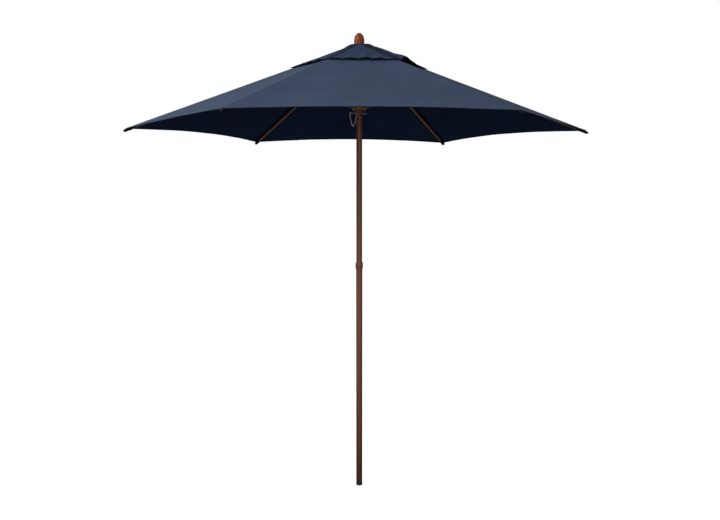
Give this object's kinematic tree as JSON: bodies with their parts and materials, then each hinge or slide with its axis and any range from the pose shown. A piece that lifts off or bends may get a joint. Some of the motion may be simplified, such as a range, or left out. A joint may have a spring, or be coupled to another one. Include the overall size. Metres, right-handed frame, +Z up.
{
  "type": "market umbrella",
  "caption": "Push-up market umbrella: sectional pole, folding ribs and struts on a runner, pin and chain lock, vented fabric canopy and turned finial.",
  "frame": {"origin": "centre of the pole's lower end", "axes": "+Z up the pole, +X towards rib 1; ribs every 60 degrees, and the lock pin's eye at azimuth 210 degrees"},
  "size_m": [2.7588, 2.3956, 2.71],
  "materials": {
    "pole_finish": "satin brown wood-grain finish, streaks along the pole",
    "rib_wood": "stained hardwood, satin lacquer",
    "hub_wood": "golden brown turned hardwood, gloss lacquer",
    "neck_wood": "reddish turned hardwood, satin lacquer",
    "finial_wood": "orange-brown turned hardwood, gloss lacquer",
    "canopy_fabric": "navy woven polyester, plain weave, matt",
    "pocket_fabric": "dark coated pocket cloth",
    "steel": "plain zinc-plated steel",
    "bracket_steel": "dark bronze painted sheet steel",
    "bright_chain": "bright plated steel wire",
    "black_plastic": "dark moulded plastic",
    "liner_plastic": "dark brown moulded nylon"
  },
  "bodies": {
    "lower_pole": {"lower_pole": "pole_finish", "foot_cap": "black_plastic", "pole_collar": "pole_finish", "pole_stop": "black_plastic"},
    "upper_pole": {"upper_pole": "pole_finish", "crown_hub": "hub_wood", "crown_pins": "steel", "crown_screws": "steel", "finial": "finial_wood", "finial_stud": "steel", "vent_cap": "canopy_fabric", "canopy_panel_1": "canopy_fabric", "canopy_panel_2": "canopy_fabric", "canopy_panel_3": "canopy_fabric", "canopy_panel_4": "canopy_fabric", "canopy_panel_5": "canopy_fabric", "canopy_panel_6": "canopy_fabric"},
    "runner": {"runner_hub": "hub_wood", "runner_neck": "neck_wood", "runner_liner": "liner_plastic", "chain_eye": "bright_chain", "lock_chain": "bright_chain"},
    "chain_end": {"chain_ring": "bright_chain"},
    "lock_pin": {"lock_pin": "steel"},
    "rib_1": {"rib_1": "rib_wood", "rib_tip_1": "black_plastic", "corner_pocket_1": "pocket_fabric", "rib_bracket_1": "bracket_steel"},
    "strut_1": {"strut_1": "rib_wood", "strut_pin_1": "steel"},
    "rib_2": {"rib_2": "rib_wood", "rib_tip_2": "black_plastic", "corner_pocket_2": "pocket_fabric", "rib_bracket_2": "bracket_steel"},
    "strut_2": {"strut_2": "rib_wood", "strut_pin_2": "steel"},
    "rib_3": {"rib_3": "rib_wood", "rib_tip_3": "black_plastic", "corner_pocket_3": "pocket_fabric", "rib_bracket_3": "bracket_steel"},
    "strut_3": {"strut_3": "rib_wood", "strut_pin_3": "steel"},
    "rib_4": {"rib_4": "rib_wood", "rib_tip_4": "black_plastic", "corner_pocket_4": "pocket_fabric", "rib_bracket_4": "bracket_steel"},
    "strut_4": {"strut_4": "rib_wood", "strut_pin_4": "steel"},
    "rib_5": {"rib_5": "rib_wood", "rib_tip_5": "black_plastic", "corner_pocket_5": "pocket_fabric", "rib_bracket_5": "bracket_steel"},
    "strut_5": {"strut_5": "rib_wood", "strut_pin_5": "steel"},
    "rib_6": {"rib_6": "rib_wood", "rib_tip_6": "black_plastic", "corner_pocket_6": "pocket_fabric", "rib_bracket_6": "bracket_steel"},
    "strut_6": {"strut_6": "rib_wood", "strut_pin_6": "steel"}
  },
  "joints": [
    {"name": "pole_lift", "type": "slide", "parent": "lower_pole", "child": "upper_pole", "axis": [0, 0, 1], "range_m": [0, 0.16]},
    {"name": "runner_slide", "type": "slide", "parent": "upper_pole", "child": "runner", "axis": [0, 0, -1], "range_m": [0, 0.7379], "deforming": ["canopy_panel_1", "canopy_panel_2", "canopy_panel_3", "canopy_panel_4", "canopy_panel_5", "canopy_panel_6", "vent_cap"]},
    {"name": "lock_pin_draw", "type": "slide", "parent": "upper_pole", "child": "lock_pin", "axis": [-0.866, -0.5, 0], "range_m": [0, 0.072]},
    {"name": "chain_end_draw", "type": "slide", "parent": "runner", "child": "chain_end", "axis": [-0.866, -0.5, 0], "range_m": [0, 0.072], "deforming": ["lock_chain"]},
    {"name": "rib_fold_1", "type": "hinge", "parent": "upper_pole", "child": "rib_1", "pos_m": [0.04, 0, 2.61603], "axis": [0, 1, 0], "range_deg": [0, 66.03]},
    {"name": "strut_fold_1", "type": "hinge", "parent": "rib_1", "child": "strut_1", "pos_m": [0.55079, 0, 2.41129], "axis": [0, -1, 0], "range_deg": [0, 138.99]},
    {"name": "rib_fold_2", "type": "hinge", "parent": "upper_pole", "child": "rib_2", "pos_m": [0.02, 0.03464, 2.61603], "axis": [-0.866, 0.5, 0], "range_deg": [0, 66.03]},
    {"name": "strut_fold_2", "type": "hinge", "parent": "rib_2", "child": "strut_2", "pos_m": [0.27539, 0.477, 2.41129], "axis": [0.866, -0.5, 0], "range_deg": [0, 138.99]},
    {"name": "rib_fold_3", "type": "hinge", "parent": "upper_pole", "child": "rib_3", "pos_m": [-0.02, 0.03464, 2.61603], "axis": [-0.866, -0.5, 0], "range_deg": [0, 66.03]},
    {"name": "strut_fold_3", "type": "hinge", "parent": "rib_3", "child": "strut_3", "pos_m": [-0.27539, 0.477, 2.41129], "axis": [0.866, 0.5, 0], "range_deg": [0, 138.99]},
    {"name": "rib_fold_4", "type": "hinge", "parent": "upper_pole", "child": "rib_4", "pos_m": [-0.04, 0, 2.61603], "axis": [0, -1, 0], "range_deg": [0, 66.03]},
    {"name": "strut_fold_4", "type": "hinge", "parent": "rib_4", "child": "strut_4", "pos_m": [-0.55079, 0, 2.41129], "axis": [0, 1, 0], "range_deg": [0, 138.99]},
    {"name": "rib_fold_5", "type": "hinge", "parent": "upper_pole", "child": "rib_5", "pos_m": [-0.02, -0.03464, 2.61603], "axis": [0.866, -0.5, 0], "range_deg": [0, 66.03]},
    {"name": "strut_fold_5", "type": "hinge", "parent": "rib_5", "child": "strut_5", "pos_m": [-0.27539, -0.477, 2.41129], "axis": [-0.866, 0.5, 0], "range_deg": [0, 138.99]},
    {"name": "rib_fold_6", "type": "hinge", "parent": "upper_pole", "child": "rib_6", "pos_m": [0.02, -0.03464, 2.61603], "axis": [0.866, 0.5, 0], "range_deg": [0, 66.03]},
    {"name": "strut_fold_6", "type": "hinge", "parent": "rib_6", "child": "strut_6", "pos_m": [0.27539, -0.477, 2.41129], "axis": [-0.866, -0.5, 0], "range_deg": [0, 138.99]}
  ],
  "couplings": [
    {"joint": "chain_end_draw", "follows": "lock_pin_draw", "ratio": 1},
    {"joint": "rib_fold_1", "follows": "runner_slide", "rad_per_m": 1.5618},
    {"joint": "strut_fold_1", "follows": "runner_slide", "rad_per_m": 3.2874},
    {"joint": "rib_fold_2", "follows": "runner_slide", "rad_per_m": 1.5618},
    {"joint": "strut_fold_2", "follows": "runner_slide", "rad_per_m": 3.2874},
    {"joint": "rib_fold_3", "follows": "runner_slide", "rad_per_m": 1.5618},
    {"joint": "strut_fold_3", "follows": "runner_slide", "rad_per_m": 3.2874},
    {"joint": "rib_fold_4", "follows": "runner_slide", "rad_per_m": 1.5618},
    {"joint": "strut_fold_4", "follows": "runner_slide", "rad_per_m": 3.2874},
    {"joint": "rib_fold_5", "follows": "runner_slide", "rad_per_m": 1.5618},
    {"joint": "strut_fold_5", "follows": "runner_slide", "rad_per_m": 3.2874},
    {"joint": "rib_fold_6", "follows": "runner_slide", "rad_per_m": 1.5618},
    {"joint": "strut_fold_6", "follows": "runner_slide", "rad_per_m": 3.2874}
  ]
}
